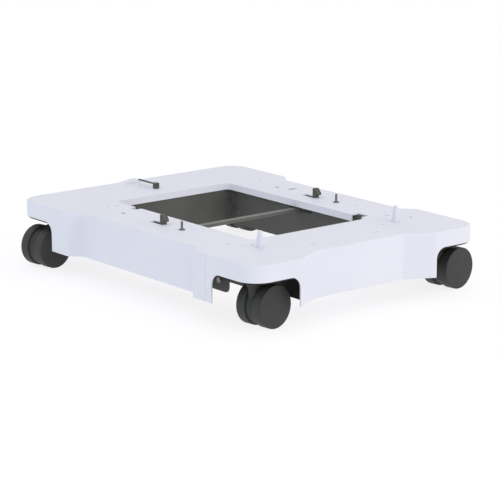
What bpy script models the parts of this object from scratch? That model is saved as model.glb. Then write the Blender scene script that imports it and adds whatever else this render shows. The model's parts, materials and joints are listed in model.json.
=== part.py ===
"""A castor base: the low rolling stand that carries an office printer.

White covers sit on a folded steel frame with a large central opening.  Four twin-wheel castors
swivel under the corners.  A lock slider with two hooks holds the machine that stands on the base,
and a lever on the rear cover draws it back.

Axes: X across the base, Y along it (front is -Y), Z up.  The origin is the centre of the base on
the floor.  Lengths are in metres, angles in degrees.
"""

import math

import bmesh
import bpy
from mathutils import Matrix, Vector

# ---- driving dimensions --------------------------------------------------------------------

HALF_X = 0.258              # half width over the covers
HALF_Y = 0.350              # half length over the covers
DECK_TOP = 0.1215           # height of the deck above the floor
SKIRT_BOTTOM = 0.040
LIP_BOTTOM = 0.092          # lower edge of the covers over the castors
COVER = 0.0025              # thickness of the covers
SHEET = 0.0015              # thickness of the frame's sheet steel
PLATE = 0.0020              # thickness of the castor brackets
GAP = 0.0004                # gap between pieces that touch
TOP_ROUND = 0.0035          # rounding of the covers' upper edge

CORNER_RADIUS = 0.040       # outline radius at the four corners
SIDE_POD = 0.189            # the side pods end here, in Y
SIDE_PANEL = 0.1666         # the recessed side panels begin here, in Y
SIDE_DEPTH = 0.0206         # how far the side panels are set in
FRONT_POD = 0.152           # the front pods end here, in X
FRONT_PANEL = 0.099         # the recessed front panel begins here, in X
FRONT_DEPTH = 0.027         # how far the front panel is set in
SEAMS = {"front": 0.2235, "rear": 0.2415}   # distance of the covers' joints from the middle
ARCH_X = 0.155              # the castor arches begin here on the ends
ARCH_Y = 0.240              # and here on the sides
ARCH_RADIUS = 0.020

OPENING_X = 0.1325          # half width of the opening in the deck
OPENING_FRONT = -0.190
OPENING_REAR = 0.212
OPENING_RADIUS = 0.010
FLANGE_DROP = 0.0125        # height of the white flange round the opening
FRONT_NOTCH = (0.150, -0.176, -0.149)       # outer X, front and rear Y of the right edge's notch
REAR_NOTCH = (-0.1465, 0.131, 0.150)        # the same of the left edge's notch
FAIRING_Y = (0.326, 0.346)  # low hump on the rear cover beside the lever
FAIRING_HEIGHT = 0.005

RAIL_INNER = 0.1445         # inner face of the side rails
RAIL_OUTER = 0.205          # outer face of the side rails
RAIL_END = 0.2205           # both ends of the rails, in Y
RAIL_FOOT = 0.0445          # lower edge of their outer walls
BEAM_INNER = 0.215          # inner face of the cross beams
BEAM_FLANGE = 0.018
ANGLE_LEG = 0.012           # legs of the corner angles
ANGLE_TOP = 0.108
FRAME_TOP = DECK_TOP - COVER - GAP
BOLT_Y = 0.196              # bolts that hold the brackets in the rails
BOLT_Z = 0.064
BOLT_HOLE = 0.0034

CASTOR_X = 0.212            # swivel axes
CASTOR_Y = 0.2945
TRAIL = 0.025               # swivel axis to axle
WHEEL_RADIUS = 0.0375
WHEEL_WIDTH = 0.0195
FORK_WIDTH = 0.0170         # housing between the two wheels
WHEEL_GAP = 0.0008
AXLE_RADIUS = 0.0040
STEM_RADIUS = 0.0055
BRACKET_LOW = 0.0888        # underside of the castor brackets
BRACKET_TOP = BRACKET_LOW + PLATE
WALL_BACK = 0.0088          # how far the brackets' inner walls stay behind the plates' ends
CASTOR_TURN = 7.0           # how far the castors stand off the X direction

SLIDE_X = 0.1770            # middle of the lock hooks
SLIDE_TRAVEL = 0.022
BAR_Y = 0.010               # middle of the lock crossbar
BAR_DEPTH = 0.013
BAR_TOP = DECK_TOP - 0.0155
BAR_HEIGHT = 0.006
STRIP = 0.003               # thickness of the slide strips and the rear link
STRIP_TOP = BAR_TOP - BAR_HEIGHT + STRIP
LINK_Y = 0.231              # middle of the rear link
HOOK_HEIGHT = 0.018         # above the deck
HOOK_WIDTH = 0.010
HOOK_FRONT = -0.0005        # front and rear face of the hook's stem
HOOK_BACK = 0.0070
HOOK_NOSE = 0.0070          # how far the nose reaches forwards
HOOK_CLEAR = 0.0055         # room under the nose
SLOT_FRONT = -0.0015        # ends of the slot that the hook runs in
SLOT_BACK = 0.0365

LEVER_X = -0.0055           # pivot of the release lever
LEVER_Y = 0.259
LEVER_BLOCK = 0.0095
LEVER_RISE = 0.0105         # top of the lever arm above the deck
LEVER_ARM = 0.0025          # thickness of the arm
LEVER_WIDTH = 0.0036        # width of its long end
SHAFT_RADIUS = 0.0042
CRANK_RADIUS = 0.022
CRANK_START = 210.0         # direction of the crank at rest
CRANK_TOP = 0.1075
CRANK_THICKNESS = 0.0025

POST_X, POST_Y = 0.155, -0.242
POST_HEIGHT = 0.029         # above the deck
POST_RADIUS = 0.0068
POST_TOP_RADIUS = 0.0040
PIN_X, PIN_Y = 0.1785, -0.0535
PIN_HEIGHT = 0.0155
PIN_RADIUS = 0.0021
PIN_FOOT = 0.0055
SCREW_HOLE = 0.0026         # small round holes in the middle cover

SIDES = {"left": -1, "right": 1}
ENDS = {"front": -1, "rear": 1}


# ---- scene, materials and plain solids ------------------------------------------------------

def clear_scene():
    for item in list(bpy.data.objects):
        bpy.data.objects.remove(item)


def new_collection(name):
    collection = bpy.data.collections.new(name)
    bpy.context.scene.collection.children.link(collection)
    return collection


def new_material(name, colour, roughness, metallic=0.0):
    material = bpy.data.materials.new(name)
    material.use_nodes = True
    shader = material.node_tree.nodes["Principled BSDF"]
    shader.inputs["Base Color"].default_value = (*colour, 1.0)
    shader.inputs["Roughness"].default_value = roughness
    shader.inputs["Metallic"].default_value = metallic
    return material


def helper(mesh):
    """A solid that is only joined to another or cut from it."""
    item = bpy.data.objects.new("helper", mesh)
    item.hide_render = True
    item.display_type = "WIRE"
    cutters.objects.link(item)
    return item


def from_bmesh(shape):
    mesh = bpy.data.meshes.new("solid")
    shape.to_mesh(mesh)
    shape.free()
    return helper(mesh)


def box(low, high):
    shape = bmesh.new()
    bmesh.ops.create_cube(shape, size=1.0)
    size = Vector(high) - Vector(low)
    middle = (Vector(high) + Vector(low)) / 2
    bmesh.ops.transform(shape, matrix=Matrix.Diagonal((*size, 1.0)), verts=shape.verts)
    bmesh.ops.translate(shape, vec=middle, verts=shape.verts)
    return from_bmesh(shape)


def side_box(side, end, low, high):
    """A box given for the right rear corner, mirrored to the corner wanted."""
    xs = sorted((side * low[0], side * high[0]))
    ys = sorted((end * low[1], end * high[1]))
    return box((xs[0], ys[0], low[2]), (xs[1], ys[1], high[2]))


def cylinder(radius, start, end, segments=16):
    start, end = Vector(start), Vector(end)
    along = end - start
    turn = Vector((0, 0, 1)).rotation_difference(along).to_matrix().to_4x4()
    place = Matrix.Translation((start + end) / 2) @ turn
    shape = bmesh.new()
    bmesh.ops.create_cone(shape, cap_ends=True, segments=segments, radius1=radius,
                          radius2=radius, depth=along.length, matrix=place)
    return from_bmesh(shape)


def flat_shape(loops, low, high, plane="XY"):
    """A flat outline, with any holes, as thick as low to high along the third axis."""
    curve = bpy.data.curves.new("outline", "CURVE")
    curve.dimensions = "2D"
    curve.fill_mode = "BOTH"
    curve.extrude = (high - low) / 2
    for loop in loops:
        spline = curve.splines.new("POLY")
        spline.points.add(len(loop) - 1)
        for point, (u, v) in zip(spline.points, loop):
            point.co = (u, v, 0.0, 1.0)
        spline.use_cyclic_u = True
    source = bpy.data.objects.new("outline", curve)
    cutters.objects.link(source)
    bpy.context.view_layer.update()
    mesh = bpy.data.meshes.new_from_object(source.evaluated_get(depsgraph()))
    bpy.data.objects.remove(source)
    shape = bmesh.new()
    shape.from_mesh(mesh)
    bmesh.ops.remove_doubles(shape, verts=shape.verts, dist=0.00001)
    bmesh.ops.translate(shape, vec=(0, 0, (low + high) / 2), verts=shape.verts)
    turns = {"XY": Matrix.Identity(4),
             "XZ": Matrix(((1, 0, 0, 0), (0, 0, 1, 0), (0, 1, 0, 0), (0, 0, 0, 1))),
             "YZ": Matrix(((0, 0, 1, 0), (1, 0, 0, 0), (0, 1, 0, 0), (0, 0, 0, 1)))}
    bmesh.ops.transform(shape, matrix=turns[plane], verts=shape.verts)
    bmesh.ops.recalc_face_normals(shape, faces=shape.faces)
    return from_bmesh(shape)


def turned(profile, segments):
    """A profile of (radius, height), from the top down its outer side, turned about Z."""
    shape = bmesh.new()
    points = [shape.verts.new((radius, 0.0, height)) for radius, height in profile]
    closed = profile[0][0] > 0
    for first, second in zip(points, points[1:] + (points[:1] if closed else [])):
        shape.edges.new((first, second))
    item = from_bmesh(shape)
    screw = item.modifiers.new("turn", "SCREW")
    screw.steps = segments
    screw.render_steps = segments
    screw.use_merge_vertices = True
    screw.merge_threshold = 0.0001
    screw.use_smooth_shade = False
    return item


def depsgraph():
    return bpy.context.evaluated_depsgraph_get()


def bake(item, joined=(), removed=()):
    """The solid's mesh once others are joined to it and cut from it."""
    for operation, others in (("UNION", joined), ("DIFFERENCE", removed)):
        for other in others:
            modifier = item.modifiers.new(operation.lower(), "BOOLEAN")
            modifier.operation = operation
            modifier.solver = "EXACT"
            modifier.object = other
    bpy.context.view_layer.update()
    mesh = bpy.data.meshes.new_from_object(item.evaluated_get(depsgraph()))
    for used in (item, *joined, *removed):
        bpy.data.objects.remove(used)
    return mesh


def part(name, mesh, material, location=(0, 0, 0), parent=None, sharp_angle=35.0):
    mesh.name = name
    mesh.materials.clear()
    mesh.materials.append(material)
    mesh.shade_smooth()
    mesh.set_sharp_from_angle(angle=math.radians(sharp_angle))
    item = bpy.data.objects.new(name, mesh)
    item.location = location
    item.parent = parent
    parts.objects.link(item)
    return item


def axis_empty(name, location, turn=0.0, parent=None):
    empty = bpy.data.objects.new(name, None)
    empty.location = location
    empty.rotation_euler.z = math.radians(turn)
    empty.parent = parent
    parts.objects.link(empty)
    return empty


# ---- outlines --------------------------------------------------------------------------------

def arc(centre, radius, start, end, steps):
    angles = [math.radians(start + (end - start) * i / steps) for i in range(steps + 1)]
    return [(centre[0] + radius * math.cos(a), centre[1] + radius * math.sin(a)) for a in angles]


def round_rectangle(half_u, half_v, radius, centre=(0, 0), steps=2):
    points = []
    for start, su, sv in ((0, 1, 1), (90, -1, 1), (180, -1, -1), (270, 1, -1)):
        corner = (centre[0] + su * (half_u - radius), centre[1] + sv * (half_v - radius))
        points += arc(corner, radius, start, start + 90, steps)
    return points


def circle(centre, radius, segments=12):
    return arc(centre, radius, 0, 360, segments)[:-1]


def deck_outline():
    """Plan outline of the covers, counter-clockwise from the front panel's right end."""
    corner_x, corner_y = HALF_X - CORNER_RADIUS, HALF_Y - CORNER_RADIUS
    panel_x, panel_y = HALF_X - SIDE_DEPTH, HALF_Y - FRONT_DEPTH
    points = [(FRONT_PANEL, -panel_y), (FRONT_POD, -HALF_Y)]
    points += arc((corner_x, -corner_y), CORNER_RADIUS, -90, 0, 6)
    points += [(HALF_X, -SIDE_POD), (panel_x, -SIDE_PANEL)]
    points += [(panel_x, SIDE_PANEL), (HALF_X, SIDE_POD)]
    points += arc((corner_x, corner_y), CORNER_RADIUS, 0, 90, 6)
    points += arc((-corner_x, corner_y), CORNER_RADIUS, 90, 180, 6)
    points += [(-HALF_X, SIDE_POD), (-panel_x, SIDE_PANEL)]
    points += [(-panel_x, -SIDE_PANEL), (-HALF_X, -SIDE_POD)]
    points += arc((-corner_x, -corner_y), CORNER_RADIUS, 180, 270, 6)
    points += [(-FRONT_POD, -HALF_Y), (-FRONT_PANEL, -panel_y)]
    return points


def inset(points, distance):
    """A counter-clockwise outline moved inwards."""
    points = [Vector(point) for point in points]
    moved = []
    for before, here, after in zip(points[-1:] + points[:-1], points, points[1:] + points[:1]):
        incoming = (here - before).normalized()
        bisector = (incoming + (after - here).normalized()).normalized()
        inward = Vector((-bisector.y, bisector.x))
        stretch = inward.dot(Vector((-incoming.y, incoming.x)))
        moved.append(tuple(here + inward * distance / stretch))
    return moved


# ---- covers ----------------------------------------------------------------------------------

def weighted_bevel(item, wanted, width, segments):
    """Round only the edges whose two ends satisfy wanted."""
    mesh = item.data
    weights = mesh.attributes.new("bevel_weight_edge", "FLOAT", "EDGE")
    for edge in mesh.edges:
        first, second = (mesh.vertices[index].co for index in edge.vertices)
        weights.data[edge.index].value = 1.0 if wanted(first, second) else 0.0
    bevel = item.modifiers.new("round", "BEVEL")
    bevel.limit_method = "WEIGHT"
    bevel.width = width
    bevel.segments = segments


def arch_cutter(side, end):
    """The room that one castor swivels in, rounded where it meets the skirts."""
    arch = side_box(side, end, (ARCH_X, ARCH_Y, 0.0), (HALF_X + 0.02, HALF_Y + 0.02, LIP_BOTTOM))

    def inner_top(first, second):
        along_x = max(abs(first.y), abs(second.y)) < ARCH_Y + 0.001
        along_y = max(abs(first.x), abs(second.x)) < ARCH_X + 0.001
        return min(first.z, second.z) > LIP_BOTTOM - 0.001 and (along_x or along_y)

    weighted_bevel(arch, inner_top, ARCH_RADIUS, 5)
    return arch


def full_shell():
    """All the covers as one hollow shell, before they are parted at the seams."""
    outer = flat_shape([deck_outline()], SKIRT_BOTTOM, DECK_TOP)
    weighted_bevel(outer, lambda a, b: min(a.z, b.z) > DECK_TOP - 0.001, TOP_ROUND, 2)
    hollow = flat_shape([inset(deck_outline(), COVER)], SKIRT_BOTTOM - 0.01, DECK_TOP - COVER)
    arches = [arch_cutter(side, end) for side in SIDES.values() for end in ENDS.values()]
    return bake(outer, removed=[hollow, *arches])


def through_deck(loops):
    return flat_shape(loops, DECK_TOP - 2 * COVER, DECK_TOP + 0.01)


def hook_slot(side):
    return round_rectangle(HOOK_WIDTH / 2 + 0.0012, (SLOT_BACK - SLOT_FRONT) / 2, 0.0015,
                           (side * SLIDE_X, (SLOT_FRONT + SLOT_BACK) / 2))


def opening_outline(margin=0.0):
    """The opening in the deck, or its flange's outer face at a margin."""
    return round_rectangle(OPENING_X + margin, (OPENING_REAR - OPENING_FRONT) / 2 + margin,
                           OPENING_RADIUS + margin, (0, (OPENING_FRONT + OPENING_REAR) / 2), 4)


def opening_flange():
    """The white rim that is folded down all round the opening."""
    return flat_shape([opening_outline(COVER), opening_outline()], DECK_TOP - FLANGE_DROP,
                      DECK_TOP - COVER / 2)


def edge_notch(outer_x, front_y, rear_y):
    """A notch in a side edge of the opening, through its flange."""
    xs = sorted((math.copysign(OPENING_X - 0.001, outer_x), outer_x))
    return box((xs[0], front_y, DECK_TOP - 2 * FLANGE_DROP), (xs[1], rear_y, DECK_TOP + 0.01))


def cover_between(shell, front, rear):
    """The stretch of the shell between two places in Y, still with its modifier."""
    reach = HALF_X + 0.02
    keep = box((-reach, front, 0.0), (reach, rear, 0.2))
    body = helper(shell.copy())
    modifier = body.modifiers.new("stretch", "BOOLEAN")
    modifier.operation = "INTERSECT"
    modifier.object = keep
    return body, keep


def middle_cover(shell):
    body, keep = cover_between(shell, GAP / 2 - SEAMS["front"], SEAMS["rear"] - GAP / 2)
    holes = [opening_outline()]
    for side in SIDES.values():
        holes += [hook_slot(side),
                  circle((side * PIN_X, PIN_Y), PIN_FOOT + GAP, 16),
                  round_rectangle(0.0030, 0.0060, 0.0012, (side * 0.180, 0.121))]
    for centre in ((-0.1520, -0.2178), (-0.1820, -0.1892), (0.1867, -0.1760),
                   (-0.1675, 0.1876), (-0.1522, 0.1806), (0.1965, 0.1934)):
        holes.append(circle(centre, SCREW_HOLE))
    holes += [round_rectangle(0.0060, 0.0020, 0.0015, (0.1768, -0.1955)),
              [(0.177, 0.087), (0.190, 0.084), (0.207, 0.089), (0.199, 0.092), (0.190, 0.095)]]
    mesh = bake(body, joined=[opening_flange()],
                removed=[through_deck(holes), edge_notch(*FRONT_NOTCH), edge_notch(*REAR_NOTCH)])
    bpy.data.objects.remove(keep)
    part("middle_cover", mesh, white_plastic)


def front_cover(shell):
    body, keep = cover_between(shell, -HALF_Y - 0.05, -SEAMS["front"] - GAP / 2)
    holes = [round_rectangle(0.0035, 0.0014, 0.0012, (0.1213, -0.2450)),
             circle((0.2003, -0.2317), 0.0035)]
    for side in SIDES.values():
        holes += [circle((side * POST_X, POST_Y), POST_RADIUS + GAP, 16),
                  round_rectangle(0.0050, 0.0016, 0.0014, (side * 0.072, -0.281))]
    mesh = bake(body, removed=[through_deck(holes)])
    bpy.data.objects.remove(keep)
    part("front_cover", mesh, white_plastic)


def rear_cover(shell):
    body, keep = cover_between(shell, SEAMS["rear"] + GAP / 2, HALF_Y + 0.05)
    hole = circle((LEVER_X, LEVER_Y), SHAFT_RADIUS + 0.0012, 16)
    base, ridge = DECK_TOP - 0.001, DECK_TOP + FAIRING_HEIGHT
    fairing = [(-0.042, base), (0.012, base), (0.009, ridge - 0.001), (0.004, ridge),
               (-0.010, ridge - 0.001), (-0.026, DECK_TOP + 0.001)]
    hump = flat_shape([fairing], *FAIRING_Y, "XZ")
    mesh = bake(body, joined=[hump], removed=[through_deck([hole])])
    bpy.data.objects.remove(keep)
    part("rear_cover", mesh, white_plastic)


def build_covers():
    shell = full_shell()
    middle_cover(shell)
    front_cover(shell)
    rear_cover(shell)
    bpy.data.meshes.remove(shell)


def locating_posts():
    """Tapered posts that stand on the front brackets and pass through the deck."""
    for name, side in SIDES.items():
        foot = BRACKET_TOP + GAP - DECK_TOP
        profile = [(0.0, POST_HEIGHT), (POST_TOP_RADIUS - 0.0010, POST_HEIGHT),
                   (POST_TOP_RADIUS, POST_HEIGHT - 0.0014), (POST_RADIUS, 0.001),
                   (POST_RADIUS, foot), (0.0, foot)]
        mesh = bake(turned(profile, 16))
        part("locating_post_" + name, mesh, white_plastic, (side * POST_X, POST_Y, DECK_TOP))


def guide_pins():
    """Thin pins with a round foot on the rails' tops."""
    for name, side in SIDES.items():
        foot = FRAME_TOP + GAP - DECK_TOP
        profile = [(0.0, PIN_HEIGHT), (0.0012, PIN_HEIGHT), (PIN_RADIUS, PIN_HEIGHT - 0.0014),
                   (PIN_RADIUS, 0.0024), (PIN_FOOT, 0.0014), (PIN_FOOT, foot), (PIN_RADIUS, foot),
                   (PIN_RADIUS, foot - 0.006), (0.0, foot - 0.006)]
        mesh = bake(turned(profile, 16))
        part("guide_pin_" + name, mesh, grey_steel, (side * PIN_X, PIN_Y, DECK_TOP))


# ---- frame -----------------------------------------------------------------------------------

def bolt_hole(side, end):
    """The hole through both walls of a rail and the bracket's lugs inside it."""
    return cylinder(BOLT_HOLE, (side * (RAIL_INNER - 0.01), end * BOLT_Y, BOLT_Z),
                    (side * (RAIL_OUTER + 0.01), end * BOLT_Y, BOLT_Z), 12)


def rail_angle_slot(side, end):
    """The upright slot through a rail's inner wall and the angle's leg on it."""
    middle = BEAM_INNER - GAP - ANGLE_LEG / 2
    return side_box(side, end, (RAIL_INNER - 0.01, middle - 0.0015, 0.0680),
                    (RAIL_INNER + 0.01, middle + 0.0015, 0.0780))


def beam_angle_slot(side, end):
    """The upright slot through a beam's web and the angle's leg on it."""
    middle = RAIL_INNER - GAP - ANGLE_LEG / 2
    return side_box(side, end, (middle - 0.0015, BEAM_INNER - 0.01, 0.0860),
                    (middle + 0.0015, BEAM_INNER + 0.01, 0.0940))


def side_rail(name):
    """An inverted channel: the dark wall of the opening, a top with slots and an outer wall."""
    side = SIDES[name]
    top = side_box(side, 1, (RAIL_INNER, -RAIL_END, FRAME_TOP - SHEET),
                   (RAIL_OUTER, RAIL_END, FRAME_TOP))
    inner = side_box(side, 1, (RAIL_INNER, -RAIL_END, SKIRT_BOTTOM),
                     (RAIL_INNER + SHEET, RAIL_END, FRAME_TOP - SHEET / 2))
    reach, high, corner = RAIL_END, FRAME_TOP - SHEET / 2, 0.010
    outline = [(-reach, high)]
    outline += arc((-reach + corner, RAIL_FOOT + corner), corner, 180, 270, 3)
    outline += arc((reach - corner, RAIL_FOOT + corner), corner, 270, 360, 3)
    outline += [(reach, high)]
    faces = sorted((side * RAIL_OUTER, side * (RAIL_OUTER - SHEET)))
    slots = [round_rectangle(0.0035, 0.0022, 0.0020, (end * (reach - 0.0145), 0.0700))
             for end in ENDS.values()]
    outer = flat_shape([outline, *slots], faces[0], faces[1], "YZ")
    bar_slot = side_box(side, 1, (RAIL_INNER - 0.01, -0.026, BAR_TOP - BAR_HEIGHT - 0.0012),
                        (RAIL_INNER + 0.01, BAR_Y + BAR_DEPTH / 2 + SLIDE_TRAVEL + 0.002,
                         BAR_TOP + 0.0008))
    holes = [hook_slot(side), circle((side * PIN_X, PIN_Y), PIN_RADIUS + GAP)]
    top_holes = flat_shape(holes, FRAME_TOP - 0.01, FRAME_TOP + 0.01)
    through = [cut(side, end) for end in ENDS.values() for cut in (bolt_hole, rail_angle_slot)]
    mesh = bake(top, joined=[inner, outer], removed=[bar_slot, top_holes, *through])
    part("side_rail_" + name, mesh, dark_steel)


def cross_beam(name):
    """The dark wall across the opening, with a flange under the deck and one at the bottom."""
    end = ENDS[name]
    reach = RAIL_INNER - GAP
    web = side_box(1, end, (-reach, BEAM_INNER, SKIRT_BOTTOM),
                   (reach, BEAM_INNER + SHEET, FRAME_TOP))
    flanges = [side_box(1, end, (-reach, BEAM_INNER + SHEET / 2, low),
                        (reach, BEAM_INNER + BEAM_FLANGE, low + SHEET))
               for low in (SKIRT_BOTTOM, FRAME_TOP - SHEET)]
    slots = [beam_angle_slot(side, end) for side in SIDES.values()]
    part("cross_beam_" + name, bake(web, joined=flanges, removed=slots), dark_steel)


def corner_angle(end_name, side_name):
    """A slotted angle in the inner corner that ties a rail to a beam."""
    side, end = SIDES[side_name], ENDS[end_name]
    x_face, y_face = RAIL_INNER - GAP, BEAM_INNER - GAP
    along_x = side_box(side, end, (x_face - ANGLE_LEG, y_face - SHEET, RAIL_FOOT),
                       (x_face, y_face, ANGLE_TOP))
    along_y = side_box(side, end, (x_face - SHEET, y_face - ANGLE_LEG, RAIL_FOOT),
                       (x_face, y_face - SHEET / 2, ANGLE_TOP))
    slots = [beam_angle_slot(side, end), rail_angle_slot(side, end)]
    mesh = bake(along_x, joined=[along_y], removed=slots)
    part("corner_angle_{}_{}".format(end_name, side_name), mesh, dark_steel)


def castor_bracket(end_name, side_name):
    """The plate that a castor is bolted to, with a wall inside and a tongue in the rail."""
    side, end = SIDES[side_name], ENDS[end_name]
    margin = COVER + 0.0007
    x_low, x_high = 0.136, HALF_X - margin
    y_low, y_high = RAIL_END + 0.0010, HALF_Y - margin
    wall_end = y_high - WALL_BACK
    outline = [(x_low, y_low), (x_high, y_low)]
    outline += arc((HALF_X - CORNER_RADIUS, HALF_Y - CORNER_RADIUS), CORNER_RADIUS - margin, 0, 90, 6)
    outline += [(ARCH_X + 0.003, y_high), (ARCH_X + 0.003, wall_end), (x_low, wall_end)]
    mirrored = [(side * x, end * y) for x, y in outline]
    stem_hole = circle((side * CASTOR_X, end * CASTOR_Y), STEM_RADIUS + 0.0004, 16)
    top = flat_shape([mirrored, stem_hole], BRACKET_LOW, BRACKET_TOP)
    wall_low, wall_corner = 0.0440, 0.012
    wall_outline = [(y_low, BRACKET_TOP - PLATE / 2), (y_low, wall_low)]
    wall_outline += arc((wall_end - wall_corner, wall_low + wall_corner), wall_corner, 270, 360, 4)
    wall_outline += [(wall_end, BRACKET_TOP - PLATE / 2)]
    faces = sorted((side * x_low, side * (x_low + PLATE)))
    wall = flat_shape([[(end * y, z) for y, z in wall_outline]], faces[0], faces[1], "YZ")
    tongue_low, tongue_high = RAIL_INNER + SHEET + GAP, RAIL_OUTER - SHEET - GAP
    tongue = side_box(side, end, (tongue_low, 0.170, BRACKET_LOW),
                      (tongue_high, y_low + 0.001, BRACKET_TOP))
    lugs = [side_box(side, end, (x, 0.182, 0.0550), (x + PLATE, 0.210, BRACKET_TOP - PLATE / 2))
            for x in (tongue_low, tongue_high - PLATE)]
    mesh = bake(top, joined=[wall, tongue, *lugs], removed=[bolt_hole(side, end)])
    part("castor_bracket_{}_{}".format(end_name, side_name), mesh, black_steel)


def bracket_bolt(end_name, side_name):
    """A bolt through both walls of a rail and both lugs of the bracket inside it."""
    side, end = SIDES[side_name], ENDS[end_name]
    y = end * BOLT_Y
    head_start, head_end = RAIL_OUTER + GAP, RAIL_OUTER + 0.0040
    head = cylinder(0.0055, (side * head_start, y, BOLT_Z), (side * head_end, y, BOLT_Z), 6)
    shank = cylinder(0.0030, (side * (RAIL_INNER + 0.0003), y, BOLT_Z),
                     (side * (head_start + 0.001), y, BOLT_Z), 12)
    part("bracket_bolt_{}_{}".format(end_name, side_name), bake(head, joined=[shank]), zinc_steel)


# ---- castors ---------------------------------------------------------------------------------

def stem_mesh():
    """The fixed stem and its round flange, about the swivel axis."""
    top = BRACKET_TOP + 0.0095
    profile = [(0.0, top), (STEM_RADIUS - 0.001, top), (STEM_RADIUS, top - 0.001),
               (STEM_RADIUS, BRACKET_LOW - GAP), (0.0175, BRACKET_LOW - GAP),
               (0.0175, BRACKET_LOW - GAP - 0.0022), (STEM_RADIUS, BRACKET_LOW - GAP - 0.0022),
               (STEM_RADIUS, 0.0560), (0.0, 0.0560)]
    return bake(turned(profile, 16))


def nut_mesh():
    low = BRACKET_TOP + GAP
    body = cylinder(0.0098, (0, 0, low), (0, 0, low + 0.0055), 6)
    bore = cylinder(STEM_RADIUS + GAP, (0, 0, low - 0.001), (0, 0, low + 0.01), 16)
    return bake(body, removed=[bore])


def housing_mesh():
    """The swivelling body: a disc between the wheels and a boss about the stem."""
    half = FORK_WIDTH / 2
    disc = cylinder(0.0345, (TRAIL, -half, WHEEL_RADIUS), (TRAIL, half, WHEEL_RADIUS), 28)
    top = BRACKET_LOW - GAP - 0.0022 - 0.0006
    boss = turned([(0.0, top), (0.0110, top), (0.0125, top - 0.002), (0.0125, 0.0772),
                   (0.0082, 0.0680), (0.0082, 0.0440), (0.0, 0.0440)], 20)
    web = box((0.0, -half + 0.001, 0.050), (TRAIL, half - 0.001, 0.0725))
    stem_bore = cylinder(STEM_RADIUS + GAP, (0, 0, 0.0550), (0, 0, 0.1), 16)
    axle_bore = cylinder(AXLE_RADIUS + GAP, (TRAIL, -0.05, WHEEL_RADIUS),
                         (TRAIL, 0.05, WHEEL_RADIUS), 16)
    return bake(disc, joined=[boss, web], removed=[stem_bore, axle_bore])


def wheel_mesh():
    """One wheel about Z, its smooth outer disc at the top and its blind bore below."""
    r, w = WHEEL_RADIUS, WHEEL_WIDTH
    bore, bore_end = AXLE_RADIUS + GAP, w - 0.0040
    profile = [(0.0, w), (r - 0.0105, w - 0.0004), (r - 0.0030, w - 0.0014),
               (r - 0.0008, w - 0.0036), (r, w - 0.0070), (r, 0.0020), (r - 0.0015, 0.0),
               (bore, 0.0), (bore, bore_end), (0.0, bore_end)]
    return bake(turned(profile, 32))


def castor(end_name, side_name, turn, stem, nut, housing, wheel):
    side, end = SIDES[side_name], ENDS[end_name]
    label = "{}_{}".format(end_name, side_name)
    place = (side * CASTOR_X, end * CASTOR_Y, 0.0)
    part("castor_stem_" + label, stem, zinc_steel, place)
    part("castor_nut_" + label, nut, zinc_steel, place)
    swivel = axis_empty("swivel_axis_" + label, place, turn)
    part("castor_housing_" + label, housing, black_nylon, parent=swivel)
    reach = FORK_WIDTH / 2 + WHEEL_GAP + WHEEL_WIDTH - 0.0046
    axle = bake(cylinder(AXLE_RADIUS, (0, -reach, 0), (0, reach, 0), 16))
    part("castor_axle_" + label, axle, zinc_steel, (TRAIL, 0.0, WHEEL_RADIUS), swivel)
    for number, facing in ((1, -1), (2, 1)):
        item = part("castor_wheel_{}_{}".format(label, number), wheel, black_nylon, parent=swivel)
        item.location = (TRAIL, facing * (FORK_WIDTH / 2 + WHEEL_GAP), WHEEL_RADIUS)
        item.rotation_euler.x = math.radians(-90 * facing)


def build_castors():
    stem, nut, housing, wheel = stem_mesh(), nut_mesh(), housing_mesh(), wheel_mesh()
    turns = {("front", "left"): CASTOR_TURN, ("front", "right"): CASTOR_TURN,
             ("rear", "left"): 180 + CASTOR_TURN, ("rear", "right"): CASTOR_TURN}
    for (end_name, side_name), turn in turns.items():
        castor(end_name, side_name, turn, stem, nut, housing, wheel)


# ---- lock slider -----------------------------------------------------------------------------

def lock_crossbar():
    """A shallow channel, open below, that joins the two slide strips across the opening."""
    reach = SLIDE_X + 0.006
    low = BAR_TOP - BAR_HEIGHT
    body = box((-reach, BAR_Y - BAR_DEPTH / 2, low), (reach, BAR_Y + BAR_DEPTH / 2, BAR_TOP))
    hollow = box((-reach - 0.01, BAR_Y - BAR_DEPTH / 2 + SHEET, low - 0.01),
                 (reach + 0.01, BAR_Y + BAR_DEPTH / 2 - SHEET, BAR_TOP - SHEET))
    notches = [side_box(side, 1, (SLIDE_X - 0.0075, -0.05, low - 0.01),
                        (reach + 0.01, 0.05, STRIP_TOP + GAP)) for side in SIDES.values()]
    hooks = [side_box(side, 1, (SLIDE_X - HOOK_WIDTH / 2 - GAP, -0.05, BAR_TOP - 0.004),
                      (reach + 0.01, 0.05, BAR_TOP + 0.01)) for side in SIDES.values()]
    part("lock_crossbar", bake(body, removed=[hollow, *notches, *hooks]), grey_steel)


def slide_strip(name):
    side = SIDES[name]
    low, high = SLIDE_X - 0.0060, SLIDE_X + 0.0060
    front = -0.018
    outline = round_rectangle(0.006, (LINK_Y - front) / 2, 0.003,
                              (side * SLIDE_X, (LINK_Y + front) / 2))
    body = flat_shape([outline], STRIP_TOP - STRIP, STRIP_TOP)
    lap = side_box(side, 1, (low - 0.01, LINK_Y - 0.0055, STRIP_TOP - STRIP / 2 - GAP / 2),
                   (high + 0.01, LINK_Y + 0.01, STRIP_TOP + 0.01))
    part("slide_strip_" + name, bake(body, removed=[lap]), zinc_steel)


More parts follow.
